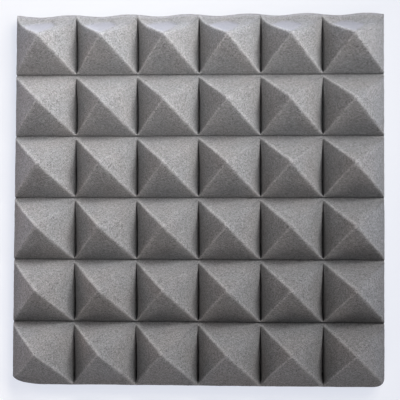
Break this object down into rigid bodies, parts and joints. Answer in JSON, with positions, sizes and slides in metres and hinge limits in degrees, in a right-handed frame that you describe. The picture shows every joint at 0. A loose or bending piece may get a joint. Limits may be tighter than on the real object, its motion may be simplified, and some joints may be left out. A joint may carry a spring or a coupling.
{
  "type": "acoustic foam panel",
  "caption": "Square acoustic foam panel with rows of pyramids cut into its front, a flat self-adhesive back and a release liner in two halves.",
  "frame": {"origin": "middle of the panel's outline, on the underside of the release liner", "axes": "+Z out of the back towards the tips of the pyramids, +Y towards the trimmed wavy edge, +X along a row of pyramids to the right seen from the front with the wavy edge up"},
  "size_m": [0.3, 0.2982, 0.0505],
  "materials": {
    "foam": "grey open-cell polyurethane foam, dull, with fine pores",
    "adhesive": "milky tacky acrylic film",
    "liner": "off-white silicone-coated release paper, satin"
  },
  "bodies": {
    "root": {"foam_base": "foam", "pyramid_r1_c1": "foam", "pyramid_r1_c2": "foam", "pyramid_r1_c3": "foam", "pyramid_r1_c4": "foam", "pyramid_r1_c5": "foam", "pyramid_r1_c6": "foam", "pyramid_r2_c1": "foam", "pyramid_r2_c2": "foam", "pyramid_r2_c3": "foam", "pyramid_r2_c4": "foam", "pyramid_r2_c5": "foam", "pyramid_r2_c6": "foam", "pyramid_r3_c1": "foam", "pyramid_r3_c2": "foam", "pyramid_r3_c3": "foam", "pyramid_r3_c4": "foam", "pyramid_r3_c5": "foam", "pyramid_r3_c6": "foam", "pyramid_r4_c1": "foam", "pyramid_r4_c2": "foam", "pyramid_r4_c3": "foam", "pyramid_r4_c4": "foam", "pyramid_r4_c5": "foam", "pyramid_r4_c6": "foam", "pyramid_r5_c1": "foam", "pyramid_r5_c2": "foam", "pyramid_r5_c3": "foam", "pyramid_r5_c4": "foam", "pyramid_r5_c5": "foam", "pyramid_r5_c6": "foam", "pyramid_r6_c1": "foam", "pyramid_r6_c2": "foam", "pyramid_r6_c3": "foam", "pyramid_r6_c4": "foam", "pyramid_r6_c5": "foam", "pyramid_r6_c6": "foam", "adhesive_film": "adhesive", "liner_left": "liner", "liner_right": "liner"}
  },
  "joints": []
}
